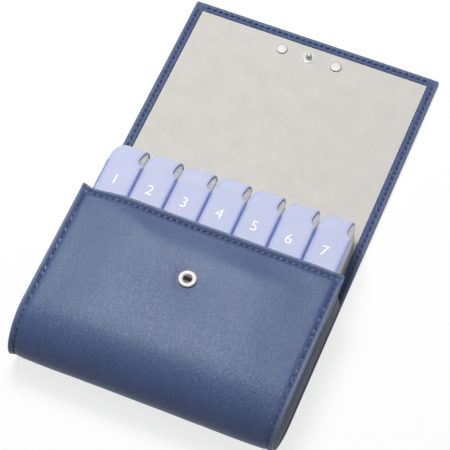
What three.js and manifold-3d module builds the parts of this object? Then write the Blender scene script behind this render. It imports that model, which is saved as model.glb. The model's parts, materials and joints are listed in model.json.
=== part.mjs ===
// A weekly pill wallet, lying on its back with the flap open and flat.
// A soft pouch, bent from one sheet with pleated sides, holds seven day boxes side by side.
// Each day box is a clear tray of four compartments under a frosted cover that slides off endways.
// The flap wraps the rounded ends of the boxes and closes with a press stud on the front panel.
// Millimetres. X runs across the wallet, +Y from the mouth towards the flap's end, +Z up.
// The origin is on the outer face of the back panel, at mid width, level with the pouch's mouth.

import * as THREE from 'three';
import { mergeVertices } from 'three/addons/utils/BufferGeometryUtils.js';
import Module from 'manifold-3d';

const wasm = await Module();
wasm.setup();

// Wallet
const wallet_width = 150;
const wallet_thick = 34.6;
const pouch_depth = 92.2;
const leather_thick = 1.0;
const board_thick = 0.5;
const lining_thick = 0.6;
const edge_thick = 2.4;
const border_width = 5.6;
const lay_gap = 0.3;
const bend_steps = 12;

// Pleated sides
const gusset_thick = 1.0;
const gusset_inset = 0.4;
const gusset_below_mouth = 1.5;
const seam_gap = 0.2;

// Day boxes
const day_count = 7;
const row_side_room = 5;
const box_gap = 0.5;
const box_floor_gap = 0.7;
const box_roof_gap = 0.4;
const box_side_gap = 0.45;
const box_rear_gap = 4.3;
const box_wall = 0.9;
const box_floor = 1.0;
const box_end_radius = 10;
const box_end_steps = 5;
const compartments = 4;
const divider_thick = 0.9;
const longest_pull = 2.8;
const pull_shares = [0.46, 0.68, 0.68, 0.96, 0.96, 0.86, 1];

// The rounded nose of a day box, seen from the side
const nose_reach = 40.15;
const nose_long = 22.15;
const nose_height = 12;
const nose_under_long = 9.15;
const nose_steps = 8;
const nose_under_steps = 4;

// The nose seen from above, with two long round corners
const corner_past_shoulder = 2;
const nose_corner_wide = 7;

// The frosted cover of a day box
const cover_thick = 1.1;
const cover_nose_gap = 0.3;
const shoulder_past_start = 2;
const cover_run_gap = 0.2;
const tongue_deep = 0.5;
const tongue_thick = 0.5;
const cover_notch_wide = 3.75;
const cover_notch_round = 5;
const corner_steps = 4;
const divider_before_nose = 9.5;

// Flap
const stud_reach = 144;
const flap_beyond_stud = 13.3;
const flap_corner = 1.6;
const crease_angles = [60, 60, 60];
const crease_strip_shares = [0.36];
const crease_gap = 0.3;

// Press stud and rivets
const socket_below_mouth = 32.8;
const socket_radius = 5.0;
const socket_high = 1.8;
const socket_bore = 2.3;
const socket_lip = 0.7;
const socket_hole = 3.3;
const eyelet_tube = 3.0;
const eyelet_wall = 0.4;
const eyelet_flange = 4.5;
const eyelet_floor = 0.4;
const eyelet_short = 0.2;
const stud_radius = 1.5;
const stud_neck = 1.25;
const stud_foot = 1.9;
const stud_foot_high = 0.2;
const stud_high = 3.4;
const stud_tip = 0.9;
const stud_bulb = 1.6;
const washer_radius = 3.9;
const washer_thick = 0.6;
const washer_gap = 0.3;
const shank_radius = 1.3;
const shank_gap = 0.3;
const rivet_apart = 33.2;
const rivet_radius = 3.4;
const rivet_high = 1.1;
const rivet_edge = 0.35;
const plate_long = 46;
const plate_wide = 10;
const plate_thick = 0.5;
const round_sides = 24;
const overrun = 1;
const weld_reach = 0.00001;

// Places that follow from the sizes above
const half_width = wallet_width / 2;
const inner_half = half_width - border_width;
const bend_radius = wallet_thick / 2;
const bend_y = bend_radius - pouch_depth;
const board_top = leather_thick + board_thick;
const lining_top = board_top + lining_thick;
const box_pitch = (wallet_width - 2 * row_side_room) / day_count;
const box_half = (box_pitch - box_gap) / 2;
const row_half = box_pitch * (day_count - 1) / 2 + box_half;
const box_low = lining_top + box_floor_gap;
const box_high = wallet_thick - edge_thick - box_roof_gap;
const box_rear = box_rear_gap + lining_top + lay_gap - pouch_depth;
const cover_low = box_high - cover_thick;
const nose_start = nose_reach - nose_long;
const nose_under = nose_reach - nose_under_long;
const cover_shoulder = nose_start + shoulder_past_start;
const corners_start = cover_shoulder + corner_past_shoulder;
const last_divider = nose_start - divider_before_nose;
const socket_y = -socket_below_mouth;

// Outlines are lists of points; each prism below extrudes one along an axis
function toShape(points) {
  const shape = new THREE.Shape(points.map(([u, v]) => new THREE.Vector2(u, v)));
  return shape;
}

function prism(points, depth) {
  return new THREE.ExtrudeGeometry(toShape(points), { depth, bevelEnabled: false, steps: 1 });
}

// An outline in Y and Z, extruded from x0 to x1
function prismX(points, x0, x1) {
  const turn = new THREE.Matrix4().makeBasis(
    new THREE.Vector3(0, 1, 0), new THREE.Vector3(0, 0, 1), new THREE.Vector3(1, 0, 0));
  return prism(points, x1 - x0).applyMatrix4(turn).translate(x0, 0, 0);
}

// An outline in X and Z, extruded from y0 to y1
function prismY(points, y0, y1) {
  const turn = new THREE.Matrix4().makeBasis(
    new THREE.Vector3(1, 0, 0), new THREE.Vector3(0, 0, 1), new THREE.Vector3(0, -1, 0));
  return prism(points, y1 - y0).applyMatrix4(turn).translate(0, y1, 0);
}

// An outline in X and Y, extruded from z0 to z1
function prismZ(points, z0, z1) {
  return prism(points, z1 - z0).translate(0, 0, z0);
}

function block(x0, x1, y0, y1, z0, z1) {
  return new THREE.BoxGeometry(x1 - x0, y1 - y0, z1 - z0)
    .translate((x0 + x1) / 2, (y0 + y1) / 2, (z0 + z1) / 2);
}

// A round piece turned about Z from a profile of [radius, height] points
function turned(profile, x, y) {
  return new THREE.LatheGeometry(profile.map(([r, z]) => new THREE.Vector2(r, z)), round_sides)
    .rotateX(Math.PI / 2).translate(x, y, 0);
}

function rod(radius, x, y, z0, z1) {
  return turned([[0, z0], [radius, z0], [radius, z1], [0, z1]], x, y);
}

// Points of an elliptical arc, both ends included, angles in quarter turns
function arc(cu, cv, ru, rv, from, to, steps) {
  const points = [];
  for (let i = 0; i <= steps; i += 1) {
    const angle = (from + (to - from) * i / steps) * Math.PI / 2;
    points.push([cu + ru * Math.cos(angle), cv + rv * Math.sin(angle)]);
  }
  return points;
}

// Solids for joining and cutting, and back again
function solid(geometry) {
  const bare = new THREE.BufferGeometry();
  bare.setAttribute('position', geometry.getAttribute('position'));
  if (geometry.index) bare.setIndex(geometry.index);
  const merged = mergeVertices(bare, weld_reach);
  const kept = [];
  const index = merged.index.array;
  for (let i = 0; i < index.length; i += 3) {
    const [a, b, c] = [index[i], index[i + 1], index[i + 2]];
    if (a !== b && b !== c && c !== a) kept.push(a, b, c);
  }
  return new wasm.Manifold(new wasm.Mesh({
    numProp: 3,
    vertProperties: merged.getAttribute('position').array,
    triVerts: new Uint32Array(kept),
  }));
}

function shell(manifold) {
  const mesh = manifold.getMesh();
  const geometry = new THREE.BufferGeometry();
  geometry.setAttribute('position', new THREE.BufferAttribute(new Float32Array(mesh.vertProperties), 3));
  geometry.setIndex(new THREE.BufferAttribute(new Uint32Array(mesh.triVerts), 1));
  geometry.computeVertexNormals();
  return geometry;
}

function join(...geometries) {
  return geometries.map(solid).reduce((all, next) => all.add(next));
}

// Finishes
const navy = { color: 0x3d4f7c, roughness: 0.55, metalness: 0 };
const navy_dark = { color: 0x2a365c, roughness: 0.6, metalness: 0 };
const suede = { color: 0xd8d5cd, roughness: 0.95, metalness: 0 };
const card = { color: 0xb8b2a4, roughness: 0.9, metalness: 0 };
const steel = { color: 0xc4c6ca, roughness: 0.25, metalness: 1 };
const clear = { color: 0xdfe6f2, roughness: 0.1, metalness: 0, transparent: true, opacity: 0.5 };
const frost = { color: 0xccd2ef, roughness: 0.35, metalness: 0, transparent: true, opacity: 0.8 };

const wallet = new THREE.Group();

function piece(name, source, finish, parent = wallet) {
  const geometry = source instanceof THREE.BufferGeometry ? shell(solid(source)) : shell(source);
  const mesh = new THREE.Mesh(geometry, new THREE.MeshStandardMaterial(finish));
  mesh.name = name;
  parent.add(mesh);
  return mesh;
}

// The bent sheet seen from the side, between two depths under the outer surface
function bentSheet(outside, inside, front_end, back_end) {
  const ring = (depth, from, to) => arc(
    bend_y, bend_radius, bend_radius - depth, bend_radius - depth, from, to, bend_steps);
  return [
    [front_end, wallet_thick - outside],
    ...ring(outside, 1, 3),
    [back_end, outside],
    [back_end, inside],
    ...ring(inside, 3, 1),
    [front_end, wallet_thick - inside],
  ];
}

// Flap geometry: where each crease lies, so that the closed flap brings the stud over the socket
const turns = crease_angles.map((_, i) => crease_angles.slice(0, i + 1).reduce((a, b) => a + b))
  .map((degrees) => THREE.MathUtils.degToRad(degrees));
const crease_strips = crease_strip_shares.map((share) => share * wallet_thick);
const closed_level = wallet_thick + socket_high + washer_gap + washer_thick + lining_top - edge_thick;
const climbed = crease_strips.reduce((sum, length, i) => sum + length * Math.sin(turns[i]), 0);
const last_strip = (closed_level - edge_thick - climbed) / Math.sin(turns[crease_strips.length]);
const strips = [...crease_strips, last_strip];
const taken_up = strips.reduce((sum, length, i) => sum + length * (1 + Math.cos(turns[i])), 0);
const first_crease = (stud_reach - socket_below_mouth - taken_up) / 2;
const creases = strips.reduce((list, length) => [...list, list[list.length - 1] + length], [first_crease]);
const flap_end = stud_reach + flap_beyond_stud;
const half_gap = crease_gap / 2;

// Outer leather: front panel, round bottom and back panel in one sheet.
// Its edges are turned in along the sides and the mouth, which makes them thicker there.
const sheet_end = first_crease - half_gap;
const sheet = join(
  prismX(bentSheet(0, leather_thick, 0, sheet_end), -half_width, half_width),
  prismX(bentSheet(0, edge_thick, 0, sheet_end), -half_width, -inner_half),
  prismX(bentSheet(0, edge_thick, 0, sheet_end), inner_half, half_width),
  block(-half_width, half_width, -border_width, 0, wallet_thick - edge_thick, wallet_thick));
const socket_cut = solid(rod(socket_hole, 0, socket_y, wallet_thick / 2, wallet_thick + overrun));
piece('outer_leather', sheet.subtract(socket_cut), navy);

// Stiff boards between leather and lining
const board_half = inner_half - lay_gap;
const hem_end = -border_width - lay_gap;
const front_board = solid(block(-board_half, board_half, bend_y, hem_end,
  wallet_thick - board_top, wallet_thick - leather_thick));
piece('front_board', front_board.subtract(socket_cut), card);
piece('back_board', block(-board_half, board_half, bend_y, sheet_end - crease_gap,
  leather_thick, board_top), card);

// Pouch lining, from the mouth's hem round the bottom and up the back panel to the first crease
const lining = solid(prismX(bentSheet(board_top, lining_top, hem_end, sheet_end), -board_half, board_half));
piece('pouch_lining', lining.subtract(socket_cut), suede);

// Pleated side strips, sewn between the turned edges of the front and the back
const gusset_out = half_width - gusset_inset;
const fold_in = row_half + box_side_gap;
const seam_depth = edge_thick + seam_gap;
const inside_radius = bend_radius - seam_depth;
const inside_end = arc(bend_y, bend_radius, inside_radius, inside_radius, 1, 3, bend_steps);
const pouch_inside = solid(prismX([
  [-gusset_below_mouth, wallet_thick - seam_depth],
  ...inside_end,
  [-gusset_below_mouth, seam_depth],
], -half_width, half_width));
for (const [name, side] of [['left_gusset', -1], ['right_gusset', 1]]) {
  const pleat = [
    [gusset_out, 0],
    [fold_in + gusset_thick, bend_radius],
    [gusset_out, wallet_thick],
    [gusset_out - gusset_thick, wallet_thick],
    [fold_in, bend_radius],
    [gusset_out - gusset_thick, 0],
  ].map(([x, z]) => [side * x, z]);
  const strip = solid(prismY(side > 0 ? pleat : pleat.reverse(), -pouch_depth, 0));
  piece(name, strip.intersect(pouch_inside), navy_dark);
}

// Press stud, ring half: a rounded metal ring on the front panel
const socket_top = wallet_thick + socket_high;
piece('snap_socket', turned([
  [socket_bore, wallet_thick],
  [socket_radius, wallet_thick],
  [socket_radius, socket_top - socket_lip],
  [socket_radius - socket_lip / 2, socket_top - socket_lip / 4],
  [socket_radius - socket_lip, socket_top],
  [socket_bore + socket_lip, socket_top],
  [socket_bore, socket_top - socket_lip / 2],
  [socket_bore, wallet_thick],
], 0, socket_y), steel);

// The cup that grips the ring from inside the pouch
const eyelet_top = wallet_thick - eyelet_short;
const eyelet_seat = wallet_thick - lining_top;
piece('snap_eyelet', turned([
  [0, eyelet_seat - eyelet_floor],
  [eyelet_flange, eyelet_seat - eyelet_floor],
  [eyelet_flange, eyelet_seat],
  [eyelet_tube, eyelet_seat],
  [eyelet_tube, eyelet_top],
  [eyelet_tube - eyelet_wall, eyelet_top],
  [eyelet_tube - eyelet_wall, eyelet_seat],
  [0, eyelet_seat],
], 0, socket_y), steel);

// Flap strips between the creases, and the broad end that carries the stud
const rivet_x = rivet_apart / 2;
const shank_hole = shank_radius + shank_gap;
const fastener_places = [-rivet_x, 0, rivet_x];
const fastener_cuts = fastener_places
  .map((x) => solid(rod(shank_hole, x, stud_reach, -overrun, edge_thick + overrun)))
  .reduce((all, next) => all.add(next));

function roundedEnd(half, y0, y1, radius) {
  return [
    [-half, y0],
    [half, y0],
    ...arc(half - radius, y1 - radius, radius, radius, 0, 1, corner_steps),
    ...arc(radius - half, y1 - radius, radius, radius, 1, 2, corner_steps),
  ];
}

creases.forEach((crease, i) => {
  const last = i === creases.length - 1;
  const y0 = crease + half_gap;
  const y1 = last ? flap_end : creases[i + 1] - half_gap;
  if (!last) {
    piece(`flap_leather_${i + 1}`, join(
      block(-half_width, half_width, y0, y1, 0, leather_thick),
      block(-half_width, -inner_half, y0, y1, 0, edge_thick),
      block(inner_half, half_width, y0, y1, 0, edge_thick)), navy);
    piece(`flap_lining_${i + 1}`, block(-board_half, board_half, y0, y1, leather_thick, lining_top), suede);
    return;
  }
  const outline = roundedEnd(half_width, y0, y1, flap_corner);
  const tray = solid(prismZ(outline, 0, edge_thick))
    .subtract(solid(block(-inner_half, inner_half, y0 - overrun, y1 - border_width,
      leather_thick, edge_thick + overrun)))
    .subtract(solid(block(-plate_long / 2 - lay_gap, plate_long / 2 + lay_gap,
      stud_reach - plate_wide / 2 - lay_gap, stud_reach + plate_wide / 2 + lay_gap,
      -overrun, plate_thick)))
    .subtract(fastener_cuts);
  piece(`flap_leather_${i + 1}`, tray, navy);
  const cloth_end = y1 - border_width - lay_gap;
  const cloth = solid(block(-board_half, board_half, y0, cloth_end, leather_thick, lining_top));
  piece(`flap_lining_${i + 1}`, cloth.subtract(fastener_cuts), suede);
});

// Bare plate let into the outside of the flap, held by the two rivets
const plate_half = plate_long / 2;
const plate_round = plate_wide / 2;
piece('closure_plate', prismZ([
  ...arc(plate_half - plate_round, stud_reach, plate_round, plate_round, -1, 1, corner_steps * 2),
  ...arc(plate_round - plate_half, stud_reach, plate_round, plate_round, 1, 3, corner_steps * 2),
], 0, plate_thick), steel);

for (const [name, x] of [['rivet_left', -rivet_x], ['rivet_right', rivet_x]]) {
  const cap_top = lining_top + rivet_high;
  piece(name, turned([
    [0, plate_thick],
    [shank_radius, plate_thick],
    [shank_radius, lining_top],
    [rivet_radius, lining_top],
    [rivet_radius, cap_top - rivet_edge],
    [rivet_radius - rivet_edge, cap_top],
    [0, cap_top],
  ], x, stud_reach), steel);
}

// Press stud, post half, standing on a clear washer
const post_base = lining_top + washer_thick;
const post_top = post_base + stud_high;
piece('snap_stud', turned([
  [0, plate_thick],
  [shank_radius, plate_thick],
  [shank_radius, post_base],
  [stud_foot, post_base],
  [stud_foot, post_base + stud_foot_high],
  [stud_neck, post_base + stud_foot_high + stud_tip],
  [stud_radius, post_top - stud_bulb],
  [stud_radius, post_top - stud_tip],
  [stud_radius - stud_tip, post_top],
  [0, post_top],
], 0, stud_reach), steel);
const washer_hole = shank_radius + shank_gap;
piece('stud_washer', turned([
  [washer_hole, lining_top],
  [washer_radius, lining_top],
  [washer_radius, post_base],
  [washer_hole, post_base],
  [washer_hole, lining_top],
], 0, stud_reach), clear);

// Day box tray, seen from the side: long body, round rear end, nose set back under the cover
const rear_centre = box_rear + box_end_radius;
const nose_tall = box_high - nose_height;
const case_set_back = cover_thick + cover_nose_gap;
const tray_tip = nose_reach - case_set_back;

function traySide(wall) {
  const low = box_low + wall;
  const tip = tray_tip - wall;
  return {
    low,
    rear_top: arc(rear_centre, box_high - box_end_radius, box_end_radius - wall, box_end_radius - wall,
      1, 2, box_end_steps),
    rear_low: arc(rear_centre, box_low + box_end_radius, box_end_radius - wall, box_end_radius - wall,
      2, 3, box_end_steps),
    under: arc(nose_under, nose_height, tip - nose_under, nose_height - low, -1, 0, nose_under_steps),
    over: arc(nose_start, nose_height, tip - nose_start, nose_tall - case_set_back - wall,
      0, 1, nose_steps),
  };
}

const outer = traySide(0);
const inner = traySide(box_floor);
const nose_roof = nose_height + (nose_tall - case_set_back)
  * Math.sqrt(1 - ((cover_shoulder - nose_start) / (tray_tip - nose_start)) ** 2);
const over_shoulder = (points) => points.filter(([y]) => y > cover_shoulder);
const tray_outline = [
  ...outer.rear_low,
  ...outer.under,
  ...over_shoulder(outer.over),
  [cover_shoulder, nose_roof],
  [cover_shoulder, box_high],
  ...outer.rear_top,
];
const well_front = cover_shoulder - box_floor;
const well_rear = rear_centre + cover_run_gap;
const well_roof = nose_roof - box_floor;
const well_outline = [
  ...inner.rear_low,
  ...inner.under,
  ...over_shoulder(inner.over),
  [well_front, well_roof],
  [well_front, box_high + overrun],
  [well_rear, box_high + overrun],
  [well_rear, box_high - box_floor],
  ...inner.rear_top,
];
const well_half = box_half - box_wall;
const divider_top = cover_low - cover_run_gap;
const well_start = box_rear + box_floor;
const divider_step = (last_divider - well_start + divider_thick) / compartments;
const groove_low = cover_low - cover_run_gap;
const groove_high = cover_low + tongue_thick + cover_run_gap;
const groove_half = well_half + tongue_deep;

// The tray or its well seen from above, with the nose's round corners
function trayPlan(half, tip, corner_wide) {
  const corner_long = tip - corners_start;
  return solid(prismZ([
    [-half, box_rear - overrun],
    [half, box_rear - overrun],
    ...arc(half - corner_wide, corners_start, corner_wide, corner_long, 0, 1, corner_steps),
    ...arc(corner_wide - half, corners_start, corner_wide, corner_long, 1, 2, corner_steps),
  ], 0, wallet_thick));
}

function dayCase() {
  let well = solid(prismX(well_outline, -well_half, well_half))
    .intersect(trayPlan(well_half, tray_tip - box_floor, nose_corner_wide - box_wall));
  for (let k = 1; k <= compartments; k += 1) {
    const y = well_start + k * divider_step - divider_thick;
    well = well.subtract(solid(block(-box_half, box_half, y, y + divider_thick, 0, divider_top)));
  }
  const tray = solid(prismX(tray_outline, -box_half, box_half))
    .intersect(trayPlan(box_half, tray_tip, nose_corner_wide));
  const groove = solid(block(-groove_half, groove_half, well_rear, cover_shoulder + overrun,
    groove_low, groove_high));
  const run = solid(block(-well_half, well_half, well_rear, cover_shoulder + overrun,
    groove_low, box_high + overrun));
  return tray.subtract(well).subtract(groove).subtract(run);
}

// Frosted cover: a plate whose side tongues run in the tray's grooves, and a curved nose in front.
// The nose has one long round corner, and on the other side a long notch, where the clear tray shows.
function dayCover() {
  const top = arc(nose_start, nose_height, nose_long, nose_tall, 0, 1, nose_steps);
  const under = arc(nose_start, nose_height, nose_long - cover_thick, nose_tall - cover_thick,
    1, 0, nose_steps);
  const rear = well_rear + cover_run_gap;
  const side = [...top, [rear, box_high], [rear, cover_low], ...under];
  const plate_half_wide = well_half - cover_run_gap;
  const shoulder = cover_shoulder + cover_run_gap;
  const plan = [
    [-plate_half_wide, rear - overrun],
    [plate_half_wide, rear - overrun],
    [plate_half_wide, shoulder],
    [box_half, shoulder],
    ...arc(box_half, corners_start + cover_notch_round, cover_notch_wide, cover_notch_round,
      3, 2, corner_steps),
    [box_half - cover_notch_wide, nose_reach],
    ...arc(nose_corner_wide - box_half, corners_start, nose_corner_wide, nose_reach - corners_start,
      1, 2, corner_steps),
    [-box_half, shoulder],
    [-plate_half_wide, shoulder],
  ];
  const tongue_half = plate_half_wide + tongue_deep;
  const tongues = solid(block(-tongue_half, tongue_half, rear, cover_shoulder,
    cover_low, cover_low + tongue_thick));
  return solid(prismX(side, -box_half, box_half))
    .intersect(solid(prismZ(plan, 0, wallet_thick)))
    .add(tongues);
}

const case_solid = dayCase();
const cover_solid = dayCover();
for (let day = 0; day < day_count; day += 1) {
  const box = new THREE.Group();
  box.position.set(box_pitch * (day - (day_count - 1) / 2), longest_pull * pull_shares[day], 0);
  wallet.add(box);
  piece(`day_case_${day + 1}`, case_solid, clear, box);
  piece(`day_cover_${day + 1}`, cover_solid, frost, box);
}

export default wallet;
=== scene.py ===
import json
import math

import bmesh
import bpy
from mathutils import Matrix, Vector, noise


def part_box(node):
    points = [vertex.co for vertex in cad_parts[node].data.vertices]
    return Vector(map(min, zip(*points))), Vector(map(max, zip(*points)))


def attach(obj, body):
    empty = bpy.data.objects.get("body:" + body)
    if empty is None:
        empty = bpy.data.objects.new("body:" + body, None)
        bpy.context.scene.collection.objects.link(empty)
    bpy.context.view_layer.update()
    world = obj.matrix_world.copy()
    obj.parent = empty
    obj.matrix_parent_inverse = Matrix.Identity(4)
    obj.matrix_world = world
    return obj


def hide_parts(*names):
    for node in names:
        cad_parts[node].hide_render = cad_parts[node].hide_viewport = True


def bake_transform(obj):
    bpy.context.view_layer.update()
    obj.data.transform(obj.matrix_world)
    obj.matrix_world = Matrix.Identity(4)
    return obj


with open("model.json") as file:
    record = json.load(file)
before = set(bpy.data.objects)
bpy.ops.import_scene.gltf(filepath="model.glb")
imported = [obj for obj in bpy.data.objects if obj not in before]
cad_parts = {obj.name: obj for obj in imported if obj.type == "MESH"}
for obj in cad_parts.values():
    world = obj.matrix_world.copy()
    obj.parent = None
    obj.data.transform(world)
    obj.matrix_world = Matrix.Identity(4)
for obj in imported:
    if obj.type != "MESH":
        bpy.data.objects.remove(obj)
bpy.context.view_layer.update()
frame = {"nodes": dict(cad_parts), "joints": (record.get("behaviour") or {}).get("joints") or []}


# Camera. It stands where the photograph was taken from, high, in front and a little to the right,
# with a long lens, so the wallet's edges stay nearly parallel.
eye = Vector((0.2161, -0.5031, 0.9724))
looked_at = Vector((0.0015, 0.0146, 0.0173))
lens_length = 164.5


def linked(name, data, *finishes):
    """A new object in the scene, with its materials."""
    made = bpy.data.objects.new(name, data)
    for finish in finishes:
        data.materials.append(finish)
    bpy.context.collection.objects.link(made)
    return made


def aim(made, place, target):
    """Stands a camera or a lamp at a place and points it at the target."""
    made.location = place
    made.rotation_euler = (target - place).to_track_quat("-Z", "Y").to_euler()


camera = linked("camera", bpy.data.cameras.new("camera"))
camera.data.lens = lens_length
aim(camera, eye, looked_at)
bpy.context.scene.camera = camera
bpy.context.scene.view_settings.view_transform = "Standard"


# Room. A white table under a soft lamp that hangs behind the wallet, with a weaker one above it and
# a faint one in front. The table and the sky show white to the camera, in reflections and through
# clear plastic, and the table keeps the wallet's shadow.
def fill(tree, node, inputs):
    """Fills a node's inputs with values, or with links from sockets or from nodes' first outputs."""
    for key, value in inputs.items():
        if isinstance(value, bpy.types.Node):
            value = value.outputs[0]
        if isinstance(value, bpy.types.NodeSocket):
            tree.links.new(value, node.inputs[key])
        else:
            node.inputs[key].default_value = value


def add(tree, kind, inputs=None, **settings):
    """Adds a node, sets its settings and fills its inputs."""
    node = tree.nodes.new(kind)
    for key, value in settings.items():
        setattr(node, key, value)
    fill(tree, node, inputs or {})
    return node


def maths(tree, operation, *values):
    return add(tree, "ShaderNodeMath", dict(enumerate(values)), operation=operation)


def seen_or_mirrored(tree):
    """A share that is 1 for rays that show the room itself, straight, mirrored or through glass."""
    path = add(tree, "ShaderNodeLightPath")
    share = path.outputs["Is Camera Ray"]
    for other in ("Is Glossy Ray", "Is Transmission Ray"):
        share = maths(tree, "MAXIMUM", share, path.outputs[other])
    return share


def soft_lamp(name, place, width, height, watts, tint):
    """A rectangular lamp that points at the wallet."""
    data = bpy.data.lights.new(name, "AREA")
    data.shape = "RECTANGLE"
    data.size = width
    data.size_y = height
    data.energy = watts
    data.color = tint
    aim(linked(name, data), Vector(place), Vector())


warm_white = (1, 0.99, 0.98)
cool_white = (0.96, 0.98, 1)
soft_lamp("lamp_behind", place=(-0.29, 0.46, 1.22), width=0.58, height=0.46, watts=14.8, tint=warm_white)
soft_lamp("lamp_above", place=(-0.24, -0.02, 1.32), width=0.66, height=0.44, watts=3.9, tint=warm_white)
soft_lamp("lamp_in_front", place=(0.5, -1.0, 0.9), width=0.8, height=0.5, watts=0.15, tint=cool_white)

room = bpy.data.worlds.new("room")
room.use_nodes = True
bpy.context.scene.world = room
sky = room.node_tree
sky.nodes.clear()
dim_sky = add(sky, "ShaderNodeBackground", {"Color": (0.93, 0.96, 1, 1), "Strength": 0.12})
white_sky = add(sky, "ShaderNodeBackground", {"Color": (1, 1, 1, 1), "Strength": 1})
sky_mix = add(sky, "ShaderNodeMixShader", {0: seen_or_mirrored(sky), 1: dim_sky, 2: white_sky})
add(sky, "ShaderNodeOutputWorld", {"Surface": sky_mix})


def new_finish(name):
    """A material, its node tree and its shader."""
    finish = bpy.data.materials.new(name)
    finish.use_nodes = True
    return finish, finish.node_tree, finish.node_tree.nodes["Principled BSDF"]


table_half = 3.0
table_gap = 0.0004
table_glow = 0.78
table_paint, tree, _ = new_finish("table_paint")
tree.nodes.clear()
dull = add(tree, "ShaderNodeBsdfDiffuse", {"Color": (0.93, 0.93, 0.93, 1)})
white = add(tree, "ShaderNodeEmission", {"Color": (1, 1, 1, 1), "Strength": 1})
glow = maths(tree, "MULTIPLY", seen_or_mirrored(tree), table_glow)
table_mix = add(tree, "ShaderNodeMixShader", {0: glow, 1: dull, 2: white})
add(tree, "ShaderNodeOutputMaterial", {"Surface": table_mix})
table_top = bpy.data.meshes.new("table_top")
table_top.from_pydata([(x * table_half, y * table_half, -table_gap)
                       for x, y in ((-1, -1), (1, -1), (1, 1), (-1, 1))], [], [(0, 1, 2, 3)])
table = linked("table", table_top, table_paint)


# Outer leather. One sheet of navy leather-look material is the front panel, the round bottom, the
# back panel and the flap. Its edges are turned in and sewn down, so they are thicker and rounded.
# The seams pull it in and the full pouch pushes it out.
leather_low, leather_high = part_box("outer_leather")
ring_low, ring_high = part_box("snap_socket")
half_width = leather_high[0]
front_level = leather_high[2]
bend_radius = front_level / 2
bend_y = leather_low[1] + bend_radius
flap_end_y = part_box("flap_leather_3")[1][1]
crease_places = [Vector(joint["pos_m"]) for joint in frame["joints"] if "fold" in joint["name"]]
leather_thick = 0.0010
hem_thick = crease_places[0].z
hem_width = 0.0056
inner_half = half_width - hem_width
edge_round = 0.0009
flap_corner = 0.0016
bottom_bulge = 0.0066
tuck_at_bend = 0.0010
point_gap = 0.0001

front_run = -bend_y
bend_run = math.pi * (bend_radius + bottom_bulge / 2)
ring_run = -(ring_low[1] + ring_high[1]) / 2


def run_to(y):
    """How far along the sheet, from the mouth's edge, a place on the back panel or the flap lies."""
    return front_run + bend_run + y - bend_y


sheet_run = run_to(flap_end_y)


def hump(distance, width):
    """1 at no distance, and a smooth fall to 0 over about twice the width."""
    return math.exp(-(distance / width) ** 2)


def ease(value, start, stop):
    """0 before start, 1 after stop, and a smooth rise between."""
    share = min(1, max(0, (value - start) / (stop - start)))
    return share * share * (3 - 2 * share)


def waver(u, v, rates, layer):
    """Smooth noise with so many waves to the metre each way; every layer is another pattern."""
    return noise.noise(Vector((u * rates[0], v * rates[1], layer)))


def bend_turn(run):
    """The angle round the bottom, which is a half ellipse: the full pouch pushes it out."""
    turn = min(math.pi, max(0, math.pi * (run - front_run) / bend_run))
    return turn - bottom_bulge * math.pi / (4 * bend_run) * math.sin(2 * turn)


def sheet_place(x, run, depth):
    """A place in the sheet: across, along, and how deep under its outer face."""
    if run <= front_run:
        return Vector((x, -run, front_level - depth))
    if run < front_run + bend_run:
        turned = bend_turn(run)
        return Vector((x, bend_y - (bend_radius + bottom_bulge - depth) * math.sin(turned),
                       bend_radius + (bend_radius - depth) * math.cos(turned)))
    return Vector((x, bend_y + run - front_run - bend_run, depth))


def sheet_inward(run):
    """The direction from the outer face into the sheet."""
    return (sheet_place(0, run, leather_thick) - sheet_place(0, run, 0)).normalized()


mouth_push = 0.0016
mouth_soft = 0.0140
push_rise = (-0.070, -0.048)
push_fade = (0.070, half_width)
push_lost = 0.6
push_taper = 1.3
left_nub = 0.0012
right_nub = 0.0003
nub_wide = 0.0030
nub_inset = 0.0010
nub_long = 0.0100
nub_taper = 1.5


def mouth_shift(x, run):
    """How far the mouth's edge stands out: the full pouch pushes it, and its corners end in nubs."""
    if run > mouth_soft:
        return 0
    side = max(0, half_width - abs(x) - nub_inset)
    middle = ease(x, *push_rise) * (1 - push_lost * ease(x, *push_fade))
    nub = (left_nub if x < 0 else right_nub) * hump(side, nub_wide)
    return (mouth_push * middle * (1 - run / mouth_soft) ** push_taper
            + nub * max(0, 1 - run / nub_long) ** nub_taper)


stitch_pitch = 0.0036
seam_inset = 0.0030
rim_seam = seam_inset - 0.0003
seam_deep = 0.0006
seam_wide = 0.0011
seam_pull = 0.0007
pull_fade = 0.0060
pucker_share = 0.4
ripple_deep = 0.00007
ripple_fade = 0.0040
ripple_sway = 1.5
ripple_rates = (90, 200)
flap_seam_share = 0.45


def pucker(place):
    """How strongly a seam pulls along its length: most under each stitch, least between two."""
    return 1 - pucker_share * math.cos(2 * math.pi * place / stitch_pitch)


def seam_relief(gap, place):
    """How far one seam pulls the sheet in: its channel, the slopes beside it and faint ripples."""
    channel = seam_deep * hump(gap - seam_inset, seam_wide) * pucker(place)
    if gap <= seam_inset:
        return channel + seam_pull * (gap / seam_inset) ** 2
    beyond = gap - seam_inset
    sway = ripple_sway * waver(place, gap, ripple_rates, 1)
    ripple = ripple_deep * math.cos(2 * math.pi * place / stitch_pitch + sway)
    return channel + seam_pull * math.exp(-beyond / pull_fade) + ripple * math.exp(-beyond / ripple_fade)


panel_crown = 0.0018
dip_left = 0.35
dip_right = 0.65
left_zone = (-0.060, -0.010)
right_zone = (0.035, 0.070)
slope_start = 0.0030
slope_left = 0.0110
slope_middle = 0.0200
slope_zone = (-0.055, -0.010)
crown_side = (0.0030, 0.0400)
crown_end = (front_run - 0.012, front_run + 0.030)
ring_sink = 0.75
ring_sink_wide = 0.0160


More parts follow.
